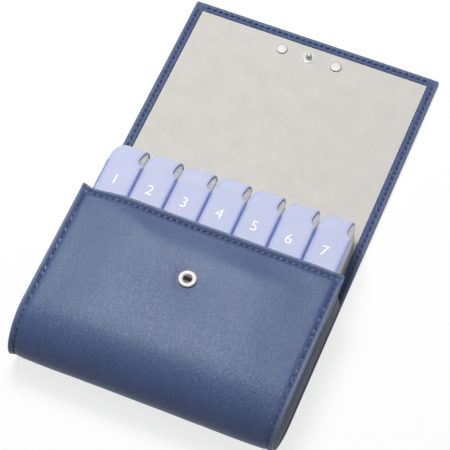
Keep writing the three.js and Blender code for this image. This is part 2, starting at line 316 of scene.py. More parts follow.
def crown_share(x, run):
    """The crown of the front panel: it dips at the mouth, and sinks at the sides, ring and bottom."""
    dip = dip_left + (1 - dip_left) * ease(x, *left_zone) - (1 - dip_right) * ease(x, *right_zone)
    slope_end = slope_left + (slope_middle - slope_left) * ease(x, *slope_zone)
    share = 1 - dip * (1 - ease(run, slope_start, slope_end))
    share *= ease(half_width - abs(x), *crown_side)
    share *= 1 - ring_sink * hump(math.hypot(x, run - ring_run), ring_sink_wide)
    return share * (1 - ease(run, *crown_end))


pouch_fade = 0.020
calm_edge = 0.0120
wave_deep = 0.00022
broad_rates = (38, 30)
small_rates = (95, 70)
dent_deep = 0.0003
dent_reach = 0.0055
dent_wide = 0.0020


def outer_relief(x, run):
    """How far the outer face is pulled in at a place by seams, soft waves and ring, less its crown."""
    side = half_width - abs(x)
    from_end = sheet_run - run
    to_ring = math.hypot(x, run - ring_run)
    on_pouch = min(1, max(0, (front_run + bend_run - run) / pouch_fade))
    strength = flap_seam_share + (1 - flap_seam_share) * on_pouch
    seams = seam_relief(side, run) + seam_relief(run, x) + seam_relief(from_end, x)
    calm = min(1, side / calm_edge) * min(1, run / calm_edge, from_end / calm_edge)
    calm *= 1 - hump(to_ring, calm_edge)
    waves = 1 + waver(x, run, broad_rates, 4) + 0.5 * waver(x, run, small_rates, 9)
    dent = dent_deep * hump(to_ring - dent_reach, dent_wide)
    soft = calm * on_pouch * wave_deep * waves
    return strength * seams + soft + dent - panel_crown * crown_share(x, run)


rim_pull = 0.00028
rim_pull_wide = 0.0008


def rim_relief(gap, place):
    """How far a turned edge's inner face is pulled out by the seam that holds it down."""
    return rim_pull * hump(gap - rim_seam, rim_pull_wide) * pucker(place)


outer_count = 125
rim_count = 12
inner_count = 61
rim_end = 0.0003
outer_half = half_width - edge_round
outer_steps = [outer_half * (2 * i / (outer_count - 1) - 1) for i in range(outer_count)]
rim_step = (hem_width - edge_round - rim_end) / (rim_count - 1)
rim_steps = [outer_half - i * rim_step for i in range(rim_count)]
inner_steps = [inner_half * (1 - 2 * i / (inner_count - 1)) for i in range(inner_count)]
edge_turns = (0.4, 0.8, 1.2, 1.57)
glue_step = 0.0004


def fall_back(gap, size):
    """How far a round edge or corner of this size falls back at a gap from its end."""
    return size - math.sqrt(max(0, size ** 2 - max(0, size - gap) ** 2))


def sheet_section(run, hemmed):
    """One closed loop across the sheet, as (across, depth): outer face, right edge, inner face, left."""
    pull = fall_back(min(run, sheet_run - run), edge_round)
    loop = [(x, outer_relief(x, run) + pull) for x in outer_steps]
    edge_depth = outer_relief(outer_steps[-1], run)
    right = [(outer_half + edge_round * math.sin(a),
              edge_depth + pull + (edge_round - edge_depth) * (1 - math.cos(a))) for a in edge_turns]
    right += [(outer_half + edge_round * math.sin(a),
               hem_thick - pull - edge_round * (1 - math.cos(a))) for a in reversed(edge_turns[:-1])]
    for x in rim_steps:
        relief = max(rim_relief(half_width - x, run), rim_relief(sheet_run - run, x), rim_relief(run, x))
        right.append((x, hem_thick - pull - relief))
    if hemmed:
        right += [(inner_half + point_gap, hem_thick - pull), (inner_half, hem_thick - pull)]
        floor = [(x, hem_thick - pull - rim_relief(sheet_run - run, x) - rim_relief(run, x))
                 for x in inner_steps]
    else:
        right += [(inner_half + point_gap, hem_thick - point_gap), (inner_half, hem_thick - glue_step)]
        floor = [(x, leather_thick) for x in inner_steps]
    return loop + right + floor + [(-x, depth) for x, depth in reversed(right)]


def even_runs(first, last, pitch):
    """Places from first to just before last, about a pitch apart."""
    steps = round((last - first) / pitch)
    return [first + i * (last - first) / steps for i in range(steps)]


end_runs = [0, 0.0001, 0.0003, 0.0006]
hem_parts = 8
coarse_end = run_to(0.030)
coarse_pitch = 0.0014
crease_pitch = 0.0012
least_gap = 0.0002


def sheet_runs(first, last):
    """Where the sections of one stretch lie: closer at the rounded ends, the hems and the creases."""
    mouth = end_runs + [edge_round + i * (hem_width - edge_round) / hem_parts for i in range(hem_parts)]
    mouth += [hem_width - point_gap]
    near_end = sheet_run - hem_width
    runs = mouth + even_runs(hem_width, coarse_end, coarse_pitch)
    runs += even_runs(coarse_end, near_end, crease_pitch) + [near_end]
    runs += [sheet_run - run for run in reversed(mouth)]
    return [first] + [run for run in runs if first + least_gap < run < last - least_gap] + [last]


def sheet_narrowing(run):
    """What share of the width is left: the corners are rounded and the bend is tucked in."""
    lost = tuck_at_bend * math.sin(bend_turn(run)) ** 2 + fall_back(sheet_run - run, flap_corner)
    return 1 - lost / half_width


def zip_end(places, front, back):
    """Triangles across a strip's cut end, between two rows of its points that run the same way."""
    faces = []
    i = j = 0
    while i < len(front) - 1 or j < len(back) - 1:
        front_step = back_step = math.inf
        if i < len(front) - 1:
            front_step = (places[front[i + 1]] - places[back[j]]).length
        if j < len(back) - 1:
            back_step = (places[front[i]] - places[back[j + 1]]).length
        if front_step <= back_step:
            faces.append((front[i], front[i + 1], back[j]))
            i += 1
        else:
            faces.append((front[i], back[j + 1], back[j]))
            j += 1
    return faces


def smooth(mesh, angle):
    """Curves shade smoothly, and edges sharper than the angle stay sharp."""
    mesh.polygons.foreach_set("use_smooth", [True] * len(mesh.polygons))
    mesh.set_sharp_from_angle(angle=math.radians(angle))


def settle(shaped, mesh):
    """Turns all faces outwards and hands them to the mesh."""
    bmesh.ops.recalc_face_normals(shaped, faces=shaped.faces)
    shaped.to_mesh(mesh)
    shaped.free()


def loft(name, sections, finish, front_count):
    """Joins closed loops of (place, (u, v), share of wear and painted light) into one closed piece, with
    its own map of the sheet.
    The first front_count points of a loop are one face of the sheet, and the others are the rest."""
    size = len(sections[0])
    points = [point for section in sections for point in section]
    places = [place for place, _, _ in points]
    faces = []
    for i in range(len(sections) - 1):
        for j in range(size):
            k = (j + 1) % size
            faces.append((i * size + j, i * size + k, (i + 1) * size + k, (i + 1) * size + j))
    for start in (0, (len(sections) - 1) * size):
        front = list(range(start, start + front_count))
        back = list(range(start + size - 1, start + front_count - 1, -1))
        faces += zip_end(places, front, back)
    mesh = bpy.data.meshes.new(name)
    mesh.from_pydata(places, [], faces)
    layer = mesh.uv_layers.new(name="sheet")
    for corner in mesh.loops:
        layer.data[corner.index].uv = points[corner.vertex_index][1]
    # This layer carries paler worn edges with a painted sheen, and the covers' painted edge glow.
    wear_and_light_layer = mesh.attributes.new("wear_and_painted_light", "FLOAT", "POINT")
    for i, (_, _, wear_and_painted_light) in enumerate(points):
        wear_and_light_layer.data[i].value = wear_and_painted_light
    shaped = bmesh.new()
    shaped.from_mesh(mesh)
    settle(shaped, mesh)
    smooth(mesh, 50)
    return linked(name, mesh, finish)


def speckle(tree, spot, scale, detail, roughness=0.5):
    return add(tree, "ShaderNodeTexNoise", {
        "Vector": spot, "Scale": scale, "Detail": detail, "Roughness": roughness})


def ranged(tree, value, low, high, start=0, stop=1, **settings):
    """A value that goes from low to high while the given one goes from start to stop."""
    return add(tree, "ShaderNodeMapRange", {
        "Value": value, "From Min": start, "From Max": stop, "To Min": low, "To Max": high},
        **settings)


def between(tree, share, low, high):
    """A colour between two others, each of them three numbers or a socket."""
    mixed = add(tree, "ShaderNodeMix", {"Factor": share}, data_type="RGBA")
    for key, colour in ((6, low), (7, high)):
        fill(tree, mixed, {key: colour if isinstance(colour, bpy.types.NodeSocket) else (*colour, 1)})
    return mixed.outputs[2]


def bumped(tree, height, strength, distance):
    return add(tree, "ShaderNodeBump", {
        "Strength": strength, "Distance": distance, "Height": height})


def object_spot(tree):
    return add(tree, "ShaderNodeTexCoord").outputs["Object"]


def leather_finish(name, body, pale, roughness, wrinkle):
    """Grained leather-look sheet: pebbles and creases that are deeper round the bottom, uneven colour,
    and a paler tone along the edges, which is partly wear and partly a painted sheen."""
    finish, tree, shader = new_finish(name)
    spot = add(tree, "ShaderNodeUVMap", uv_map="sheet")
    warp = add(tree, "ShaderNodeTexNoise", {"Vector": spot, "Scale": 420, "Detail": 2})
    bent = add(tree, "ShaderNodeVectorMath", {0: warp.outputs["Color"], 1: (0.0011, 0.0011, 0)},
               operation="MULTIPLY")
    moved = add(tree, "ShaderNodeVectorMath", {0: spot, 1: bent}, operation="ADD")
    pebbles = add(tree, "ShaderNodeTexVoronoi", {
        "Vector": moved, "Scale": 1500, "Randomness": 1}, feature="DISTANCE_TO_EDGE")
    raised = ranged(tree, pebbles.outputs["Distance"], 0, 1, stop=0.25, interpolation_type="SMOOTHSTEP")
    stretched = add(tree, "ShaderNodeMapping", {
        "Vector": spot, "Rotation": (0, 0, 0.6), "Scale": (950, 420, 1)})
    creased = speckle(tree, stretched, scale=1, detail=4)
    clouds = speckle(tree, spot, scale=40, detail=3)
    height = maths(tree, "MULTIPLY_ADD", creased, wrinkle, raised)
    along = add(tree, "ShaderNodeSeparateXYZ", {"Vector": spot}).outputs["Y"]
    strained = ranged(tree, along, 0.42, 1, start=front_run - 0.010, stop=front_run + 0.012,
                      interpolation_type="SMOOTHSTEP")
    tone = maths(tree, "MULTIPLY", ranged(tree, clouds, 0.93, 1.06, start=0.3, stop=0.7),
                 ranged(tree, creased, 0.90, 1.08, start=0.35, stop=0.65))
    tone = maths(tree, "MULTIPLY", tone, ranged(tree, raised, 0.84, 1.04))
    # Paler tone along the edges: partly wear, partly a painted sheen.
    wear_and_sheen_share = add(tree, "ShaderNodeAttribute", attribute_name="wear_and_painted_light").outputs["Fac"]
    toned = add(tree, "ShaderNodeVectorMath", {0: between(tree, wear_and_sheen_share, body, pale), "Scale": tone},
                operation="SCALE")
    fill(tree, shader, {
        "Base Color": toned, "Roughness": ranged(tree, raised, roughness + 0.12, roughness),
        "Normal": bumped(tree, height, strained, 0.00008),
        "IOR": 1.5, "Specular IOR Level": 0.41, "Specular Tint": (0.86, 0.96, 1, 1)})
    return finish


navy_leather = leather_finish("navy_leather", body=(0.043, 0.073, 0.190), pale=(0.15, 0.19, 0.32),
                              roughness=0.31, wrinkle=2.4)
# How pale the rounded edges turn: partly wear, partly a painted sheen.
edge_wear_and_sheen = 0.8
wear_and_sheen_wide = 0.0013


def leather_stretch(name, first, last):
    """One closed stretch of the sheet, paler along its rounded edges: partly wear, partly painted sheen.
    """
    sections = []
    for run in sheet_runs(first, last):
        hemmed = run < hem_width or run > sheet_run - hem_width
        share = sheet_narrowing(run)
        section = []
        for x, depth in sheet_section(run, hemmed):
            place = sheet_place(x * share, run, depth)
            place.y += mouth_shift(x, run)
            gap = min(half_width - abs(x), run, sheet_run - run)
            section.append((place, (x, run + depth), edge_wear_and_sheen * hump(gap, wear_and_sheen_wide)))
        sections.append(section)
    return loft(name, sections, navy_leather, outer_count)


split_runs = [0, run_to((crease_places[0].y + crease_places[1].y) / 2),
              run_to((crease_places[1].y + crease_places[2].y) / 2), sheet_run]


def bend_with_crease(piece):
    """Takes the piece's placing into its mesh."""
    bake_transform(piece)


leather_names = ["pouch_leather", "flap_leather_bend", "flap_leather_end"]
leather_nodes = [("outer_leather", "flap_leather_1"), ("flap_leather_2",), ("flap_leather_3",)]
for i, name in enumerate(leather_names):
    stretch = leather_stretch(name, split_runs[i], split_runs[i + 1])
    bend_with_crease(stretch)
    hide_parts(*leather_nodes[i])


# Lining. Pale warm grey suede-like cloth, glued inside the pouch and over the flap, its edges tucked
# under the turned leather.
lining_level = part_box("flap_lining_2")[1][2]
lining_thick = 0.0006
lining_half = inner_half - 0.0002
lining_pitch = 0.0018
lining_count = 81
lining_wave = 0.00010
lining_rates = (60, 45)
lining_calm = 0.0080
suede, tree, shader = new_finish("suede_lining")
spot = add(tree, "ShaderNodeUVMap", uv_map="sheet")
nap = speckle(tree, spot, scale=2600, detail=3, roughness=0.6)
brushed = add(tree, "ShaderNodeMapping", {"Vector": spot, "Scale": (900, 260, 1)})
streaks = speckle(tree, brushed, scale=1, detail=3)
patches = speckle(tree, spot, scale=75, detail=4, roughness=0.6)
pile = ranged(tree, maths(tree, "MULTIPLY_ADD", streaks, 0.35, patches), 0, 1, start=0.45, stop=0.9)
fill(tree, shader, {
    "Base Color": between(tree, pile, (0.585, 0.567, 0.541), (0.635, 0.617, 0.591)),
    "Roughness": 0.95, "Specular IOR Level": 0.15, "Sheen Weight": 0.12,
    "Normal": bumped(tree, nap, 0.5, 0.00006)})


def lining_stretch(name, first, last):
    """One closed stretch of the cloth, with faint waves on the face that shows."""
    steps = max(2, round((last - first) / lining_pitch))
    across = [lining_half * (2 * j / (lining_count - 1) - 1) for j in range(lining_count)]
    sections = []
    for i in range(steps + 1):
        run = first + (last - first) * i / steps
        share = sheet_narrowing(run)
        section = []
        for x in across:
            calm = min(1, (lining_half - abs(x)) / lining_calm)
            wave = lining_wave * calm * waver(x, run, lining_rates, 20)
            section.append((sheet_place(x * share, run, lining_level + wave), (x, run), 0))
        for x in reversed(across):
            section.append((sheet_place(x * share, run, lining_level - lining_thick), (x, run), 0))
        sections.append(section)
    return loft(name, sections, suede, lining_count)


lining_names = ["pouch_lining_cloth", "flap_lining_bend", "flap_lining_end"]
lining_nodes = [("pouch_lining", "flap_lining_1"), ("flap_lining_2",), ("flap_lining_3",)]
lining_runs = [hem_width + 0.0003, split_runs[1], split_runs[2], sheet_run - hem_width - 0.0002]
for i, name in enumerate(lining_names):
    cloth = lining_stretch(name, lining_runs[i], lining_runs[i + 1])
    bend_with_crease(cloth)
    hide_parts(*lining_nodes[i])


# Pleated sides. A strip of the same leather in a darker navy closes each side of the pouch, sewn
# between the front and back edges, with a pleat folded inwards so that the wallet can swell.
gusset_leather = leather_finish("gusset_leather", body=(0.031, 0.042, 0.084), pale=(0.09, 0.10, 0.15),
                                roughness=0.45, wrinkle=1.3)
gusset_thick = 0.0010
gusset_rows = 60
gusset_columns = 28
seam_reach = half_width - 0.0006
inside_radius = bend_radius - hem_thick - 0.0002
inside_long = inside_radius + bottom_bulge
gusset_top = -0.0015
gusset_end = bend_y - 0.985 * inside_long
pleat_deep = 0.0029
pleat_wide = 0.55
pleat_sharp = 0.18
sharp_share = 0.4
swell_high = 0.0009
swell_place = (-0.014, 0.5)
swell_size = (0.012, 0.3)
gusset_wave = 0.00025
gusset_rates = (120, 2.2)
gusset_calm = 0.15
gusset_wear_and_sheen = 0.6
gusset_wear_and_sheen_wide = 0.0010


def gusset_section(side, y):
    """One closed loop across a side strip: its outer face from back to front, then its inner face."""
    over = max(0, bend_y - y) / inside_long
    tall = inside_radius * math.sqrt(1 - over ** 2)
    # The strip turns paler at its mouth end: partly wear, partly a painted sheen.
    wear_and_painted_light = gusset_wear_and_sheen * hump(y - gusset_top, gusset_wear_and_sheen_wide)
    face = []
    for j in range(gusset_columns + 1):
        rise = 2 * j / gusset_columns - 1
        pleat = (1 - sharp_share) * hump(rise, pleat_wide) + sharp_share * hump(rise, pleat_sharp)
        swell = hump(y - swell_place[0], swell_size[0]) * hump(rise - swell_place[1], swell_size[1])
        bulge = swell_high * swell + gusset_wave * waver(y, rise, gusset_rates, 3 + side)
        calm = min(1, (1 - abs(rise)) / gusset_calm)
        reach = seam_reach - pleat_deep * pleat - 0.5 * tuck_at_bend * over ** 2 + bulge * calm
        face.append((reach, bend_radius + rise * tall))
    loop = face + [(reach - gusset_thick, z) for reach, z in reversed(face)]
    return [(Vector((side * reach, y, z)), (y, z), wear_and_painted_light) for reach, z in loop]


gusset_nodes = {-1: "left_gusset", 1: "right_gusset"}
for side, node in gusset_nodes.items():
    sections = [gusset_section(side, gusset_top + (gusset_end - gusset_top) * i / gusset_rows)
                for i in range(gusset_rows + 1)]
    name = "pleat_left" if side < 0 else "pleat_right"
    strip = loft(name, sections, gusset_leather, gusset_columns + 1)
    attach(strip, "wallet")
    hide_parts(node)


# Stitches. Dark navy thread in one row along every turned edge, on both faces of the sheet. Each
# stitch is a short slanted loop that dives into the leather at both ends.
thread, tree, shader = new_finish("navy_thread")
twist = speckle(tree, object_spot(tree), scale=3500, detail=2)
fill(tree, shader, {
    "Base Color": between(tree, twist, (0.006, 0.008, 0.024), (0.018, 0.023, 0.056)),
    "Roughness": 0.5, "Normal": bumped(tree, twist, 0.4, 0.00005)})

stitch_sizes = {"Pitch": stitch_pitch, "Stitch length": 0.0025, "Thread width": 0.0011, "Slant": 0.22}
stitch_tree = bpy.data.node_groups.new("stitch_row", "GeometryNodeTree")
stitch_tree.interface.new_socket("Geometry", in_out="INPUT", socket_type="NodeSocketGeometry")
for label in stitch_sizes:
    stitch_tree.interface.new_socket(label, in_out="INPUT", socket_type="NodeSocketFloat")
stitch_tree.interface.new_socket("Geometry", in_out="OUTPUT", socket_type="NodeSocketGeometry")
given = add(stitch_tree, "NodeGroupInput")
facing = add(stitch_tree, "GeometryNodeInputNamedAttribute", {"Name": "facing"},
             data_type="FLOAT_VECTOR")
path = add(stitch_tree, "GeometryNodeMeshToCurve", {"Mesh": given.outputs["Geometry"]})
spaced = add(stitch_tree, "GeometryNodeResampleCurve", {
    "Curve": path, "Length": given.outputs["Pitch"]}, mode="LENGTH")
tangent = add(stitch_tree, "GeometryNodeInputTangent")
lay_along = add(stitch_tree, "FunctionNodeAlignRotationToVector", {"Vector": tangent}, axis="X")
lay_up = add(stitch_tree, "FunctionNodeAlignRotationToVector", {
    "Rotation": lay_along, "Vector": facing}, axis="Z", pivot_axis="X")
slanted = add(stitch_tree, "FunctionNodeAxisAngleToRotation", {
    "Axis": (0, 0, 1), "Angle": given.outputs["Slant"]})
turned_stitch = add(stitch_tree, "FunctionNodeRotateRotation", {
    0: lay_up, 1: slanted}, rotation_space="LOCAL")
bead = add(stitch_tree, "GeometryNodeMeshUVSphere", {"Segments": 8, "Rings": 6, "Radius": 0.5})
shape = add(stitch_tree, "ShaderNodeCombineXYZ", {
    0: given.outputs["Stitch length"], 1: given.outputs["Thread width"],
    2: given.outputs["Thread width"]})
laid = add(stitch_tree, "GeometryNodeInstanceOnPoints", {
    "Points": spaced, "Instance": bead, "Rotation": turned_stitch,
    "Scale": shape})
loose = add(stitch_tree, "GeometryNodeRealizeInstances", {"Geometry": laid})
rounded = add(stitch_tree, "GeometryNodeSetShadeSmooth", {"Geometry": loose})
dyed = add(stitch_tree, "GeometryNodeSetMaterial", {"Geometry": rounded, "Material": thread})
add(stitch_tree, "NodeGroupOutput", {"Geometry": dyed})


def as_mesh(made):
    """What an object looks like with its modifiers, as a mesh of its own."""
    return bpy.data.meshes.new_from_object(made.evaluated_get(bpy.context.evaluated_depsgraph_get()))


def bake(made):
    """Takes an object's modifiers into its mesh."""
    result = as_mesh(made)
    made.modifiers.clear()
    made.data = result


def stitch_row(name, lines):
    """Stitches along lines of (place, facing), as one plain piece."""
    edges, points = [], []
    for line in lines:
        edges += [(len(points) + i, len(points) + i + 1) for i in range(len(line) - 1)]
        points += line
    mesh = bpy.data.meshes.new(name)
    mesh.from_pydata([place for place, _ in points], edges, [])
    up = mesh.attributes.new("facing", "FLOAT_VECTOR", "POINT")
    for i, (_, direction) in enumerate(points):
        up.data[i].vector = direction
    sewn = linked(name, mesh)
    rule = sewn.modifiers.new("stitches", "NODES")
    rule.node_group = stitch_tree
    for socket in stitch_tree.interface.items_tree:
        if socket.name in stitch_sizes:
            rule[socket.identifier] = stitch_sizes[socket.name]
    bake(sewn)
    return sewn


thread_proud = 0.0001


def outer_line(points):
    """Places on the outer face, with the thread a little proud of it."""
    line = []
    for x, run in points:
        place = sheet_place(x * sheet_narrowing(run), run, outer_relief(x, run) - thread_proud)
        place.y += mouth_shift(x, run)
        line.append((place, -sheet_inward(run)))
    return line


def rim_line(points):
    """Places on the inner face of a turned edge."""
    line = []
    for x, run in points:
        gap = min(half_width - abs(x), sheet_run - run, run)
        depth = hem_thick - rim_relief(gap, 0) + thread_proud
        line.append((sheet_place(x * sheet_narrowing(run), run, depth), sheet_inward(run)))
    return line


def stitch_places(first, last):
    """Places along a seam at a third of a pitch apart, from one stitch's middle to another's. The
    middles lie where the seam pulls most, whichever stretch of it they are on."""
    first_middle = (math.ceil(first / stitch_pitch - 0.5) + 0.5) * stitch_pitch
    stitches = math.floor((last - first_middle) / stitch_pitch)
    return [first_middle + i * stitch_pitch / 3 for i in range(3 * stitches + 1)]


def run_points(x, first, last):
    return [(x, run) for run in stitch_places(first, last)]


def across_points(run):
    return [(x, run) for x in stitch_places(-across_reach, across_reach)]


seam_x = half_width - seam_inset
across_reach = seam_x - 0.0020
seam_end = seam_inset + 0.0010
stitch_names = ["pouch_stitches", "flap_bend_stitches", "flap_end_stitches"]
for i, name in enumerate(stitch_names):
    start = seam_end if i == 0 else split_runs[i]
    stop = split_runs[i + 1] - (seam_end if i == 2 else point_gap)
    rim_start = run_to(bend_y) if i == 0 else start
    lines = []
    for side in (-1, 1):
        lines.append(outer_line(run_points(side * seam_x, start, stop)))
        lines.append(rim_line(run_points(side * (half_width - rim_seam), rim_start, stop)))
    if i == 0:
        lines.append(outer_line(across_points(seam_inset)))
    if i == 2:
        lines.append(outer_line(across_points(sheet_run - seam_inset)))
        lines.append(rim_line(across_points(sheet_run - rim_seam)))
    row = stitch_row(name, lines)
    bend_with_crease(row)


# Press stud, ring half. A nickel-plated ring stands on the front panel; two spring wires cross its
# bore and grip the post, over a near-black disc of painted shade. A plain cup inside the pouch holds it
# through the leather.
turned_steps = 72
same_place = 0.0000005


def turned_piece(name, profile, centre, finish):
    """A round piece turned about Z from (radius, height) points; the first and last lie on the axis or
    close the profile."""
    shaped = bmesh.new()
    points = [shaped.verts.new((radius, 0, height)) for radius, height in profile]
    edges = [shaped.edges.new(pair) for pair in zip(points, points[1:])]
    bmesh.ops.spin(shaped, geom=points + edges, cent=(0, 0, 0), axis=(0, 0, 1), angle=2 * math.pi,
                   steps=turned_steps, use_merge=True)
    bmesh.ops.remove_doubles(shaped, verts=shaped.verts, dist=same_place)
    mesh = bpy.data.meshes.new(name)
    settle(shaped, mesh)
    mesh.transform(Matrix.Translation(centre))
    smooth(mesh, 40)
    return linked(name, mesh, finish)


def round_edge(radius, height, size, angles):
    """Points of a profile's rounded edge, about a centre at the radius and height."""
    return [(radius + size * math.cos(a), height + size * math.sin(a)) for a in angles]


def round_node(node):
    """A round solid's centre, radius, and lowest and highest levels."""
    low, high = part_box(node)
    centre = Vector(((low[0] + high[0]) / 2, (low[1] + high[1]) / 2, 0))
    return centre, (high[0] - low[0]) / 2, low[2], high[2]


def metal_finish(name, tone, roughness):
    """Plated metal with faint scratches that break up its gloss."""
    finish, tree, shader = new_finish(name)
    marks = speckle(tree, object_spot(tree), scale=1800, detail=4)
    fill(tree, shader, {
        "Base Color": between(tree, marks, [0.9 * part for part in tone], tone), "Metallic": 1,
        "Roughness": ranged(tree, marks, roughness - 0.06, roughness + 0.1)})
    return finish


nickel = metal_finish("nickel_plate", (0.38, 0.38, 0.37), 0.60)
# Near-black, not the plating's tone: painted shade for the deep bore under the wires.
painted_bore_shade = metal_finish("painted_bore_shade", (0.016, 0.016, 0.015), 0.6)
ring_centre, ring_radius, _, ring_top = round_node("snap_socket")
ring_base = front_level - 0.0003
ring_bore = 0.0023
ring_chamfer = 0.0002
ring_round = 0.0007
round_level = ring_top - 0.0008
top_slope = [(0.0010, 0.00008), (0.0016, 0.00016)]
bore_slope = [(0.0005, 0.00022), (0.0002, 0.0004), (0, 0.0007)]
ring_profile = [(ring_bore, ring_base), (ring_radius - ring_chamfer, ring_base),
                (ring_radius, front_level + ring_chamfer), (ring_radius, round_level)]
ring_profile += round_edge(ring_radius - ring_round, round_level, ring_round, (0.3, 0.6, 0.9, 1.2))
ring_profile += [(ring_radius - inset, ring_top - drop) for inset, drop in top_slope]
ring_profile += [(ring_bore + inset, ring_top - drop) for inset, drop in bore_slope]
ring_profile.append((ring_bore, ring_base))
ring = turned_piece("press_stud_ring", ring_profile, ring_centre, nickel)
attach(ring, "wallet")
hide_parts("snap_socket")

shade_disc_thick = 0.00015
shade_disc_level = front_level + 0.0006
shade_disc_radius = ring_bore + 0.0001
wire_radius = 0.00016
wire_level = front_level + 0.0009
wire_off = 0.00155
wire_long = 2 * math.sqrt(shade_disc_radius ** 2 - wire_off ** 2)
wires = bmesh.new()
for side in (-1, 1):
    wire_centre = ring_centre + Vector((0, side * wire_off, wire_level))
    bmesh.ops.create_cone(
        wires, cap_ends=True, segments=14, radius1=wire_radius, radius2=wire_radius, depth=wire_long,
        matrix=Matrix.Translation(wire_centre) @ Matrix.Rotation(math.pi / 2, 4, "Y"))
# A near-black disc under the wires paints the shade deep in the bore.
bore_shade_disc = bmesh.ops.create_cone(
    wires, cap_ends=True, segments=48, radius1=shade_disc_radius, radius2=shade_disc_radius, depth=shade_disc_thick,
    matrix=Matrix.Translation(ring_centre + Vector((0, 0, shade_disc_level))))
for face in {face for corner in bore_shade_disc["verts"] for face in corner.link_faces}:
    face.material_index = 1
wire_mesh = bpy.data.meshes.new("spring_wires")
settle(wires, wire_mesh)
smooth(wire_mesh, 40)
spring_wires = linked("spring_wires", wire_mesh, nickel, painted_bore_shade)
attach(spring_wires, "wallet")

_, cup_flange, cup_base, cup_top = round_node("snap_eyelet")
cup_wall = 0.0004
cup_floor = cup_base + cup_wall
cup_tube = 0.0030
cup_bore = cup_tube - cup_wall
cup_chamfer = 0.0002
cup_profile = [(0, cup_base), (cup_flange - cup_chamfer, cup_base), (cup_flange, cup_base + cup_chamfer),
               (cup_flange - cup_chamfer / 2, cup_floor), (cup_tube, cup_floor), (cup_tube, cup_top),
               (cup_bore, cup_top), (cup_bore, cup_floor), (0, cup_floor)]
cup = turned_piece("press_stud_cup", cup_profile, ring_centre, nickel)
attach(cup, "wallet")
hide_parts("snap_eyelet")


# Press stud, post half. A small nickel post with a rounded head stands on a clear soft washer, and
# clenches the bare plate on the outside of the flap.
post_centre, _, post_base, post_top = round_node("snap_stud")
_, washer_radius, washer_base, washer_top = round_node("stud_washer")
shank = 0.0013
post_shape = [(0.0019, 0), (0.0019, 0.00015), (0.0016, 0.0003), (0.00135, 0.0007), (0.00125, 0.0011),
              (0.00125, 0.0014), (0.00138, 0.0017), (0.0015, 0.0019), (0.0015, 0.0025)]
post_round = 0.0009
post_flat = 0.0004
post_profile = [(0, post_base), (shank, post_base), (shank, washer_top)]
post_profile += [(radius, washer_top + height) for radius, height in post_shape]
head_radius, head_level = post_profile[-1]
post_profile += round_edge(head_radius - post_round, head_level, post_round, (0.35, 0.7, 1.05, 1.35))
post_profile += [(post_flat, post_top), (0, post_top)]
post = turned_piece("press_stud_post", post_profile, post_centre, nickel)
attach(post, "flap_3")
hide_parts("snap_stud")

clear_soft, tree, shader = new_finish("clear_soft_plastic")
haze = speckle(tree, object_spot(tree), scale=600, detail=2)
fill(tree, shader, {"Base Color": (0.93, 0.94, 0.95, 1), "Roughness": ranged(tree, haze, 0.08, 0.3),
                    "Alpha": 0.45, "Coat Weight": 0.6})
washer_hole = 0.0016
washer_chamfer = 0.0001
washer_profile = [
    (washer_hole, washer_base), (washer_radius - washer_chamfer, washer_base),
    (washer_radius, washer_base + washer_chamfer), (washer_radius - 0.0001, washer_base + 0.0003),
    (washer_radius - 0.0006, washer_top - washer_chamfer), (washer_radius - 0.0010, washer_top),
    (washer_hole, washer_top), (washer_hole, washer_base)]
washer = turned_piece("stud_washer_disc", washer_profile, post_centre, clear_soft)
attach(washer, "flap_3")
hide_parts("stud_washer")


# Rivets and plate. Two low round nickel caps beside the post hold a bare brushed plate that is let
# into the outside of the flap.
cap_foot = 0.00015
cap_chamfer = 0.0001
cap_round = 0.0006
cap_dome = 0.00012
for node in ("rivet_left", "rivet_right"):
    centre, radius, base, top = round_node(node)
    profile = [(0, base), (shank, base), (shank, lining_level), (radius - cap_chamfer, lining_level),
               (radius, lining_level + cap_foot)]
    profile += round_edge(radius - cap_round, top - cap_dome - cap_round, cap_round,
                          (0, 0.35, 0.7, 1.05, 1.3))
    profile += [(radius * share, top - cap_dome * share * share) for share in (0.7, 0.5, 0.25, 0)]
    rivet = turned_piece(node + "_cap", profile, centre, nickel)
    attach(rivet, "flap_3")
    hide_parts(node)


def refinish(node, finish):
    """Gives a solid that shows as it is another material."""
    frame["nodes"][node].data.materials.clear()
    frame["nodes"][node].data.materials.append(finish)


plate_steel, tree, shader = new_finish("brushed_plate")
plate_brush = add(tree, "ShaderNodeMapping", {"Vector": object_spot(tree), "Scale": (60, 6000, 6000)})
plate_marks = speckle(tree, plate_brush, scale=1, detail=3)
fill(tree, shader, {
    "Base Color": (0.72, 0.73, 0.74, 1), "Metallic": 1,
    "Roughness": ranged(tree, plate_marks, 0.22, 0.42),
    "Normal": bumped(tree, plate_marks, 0.3, 0.00002)})
refinish("closure_plate", plate_steel)


# Boards. Stiff grey card inside the front and back panels keeps them flat; nothing of it shows.
# It is cut to the panel and slipped in between the leather and the lining.
card, tree, shader = new_finish("grey_card")
pulp = speckle(tree, object_spot(tree), scale=900, detail=4)
fill(tree, shader, {"Base Color": between(tree, pulp, (0.36, 0.34, 0.30), (0.48, 0.45, 0.40)),
                    "Roughness": 0.95})
for node in ("front_board", "back_board"):
    refinish(node, card)


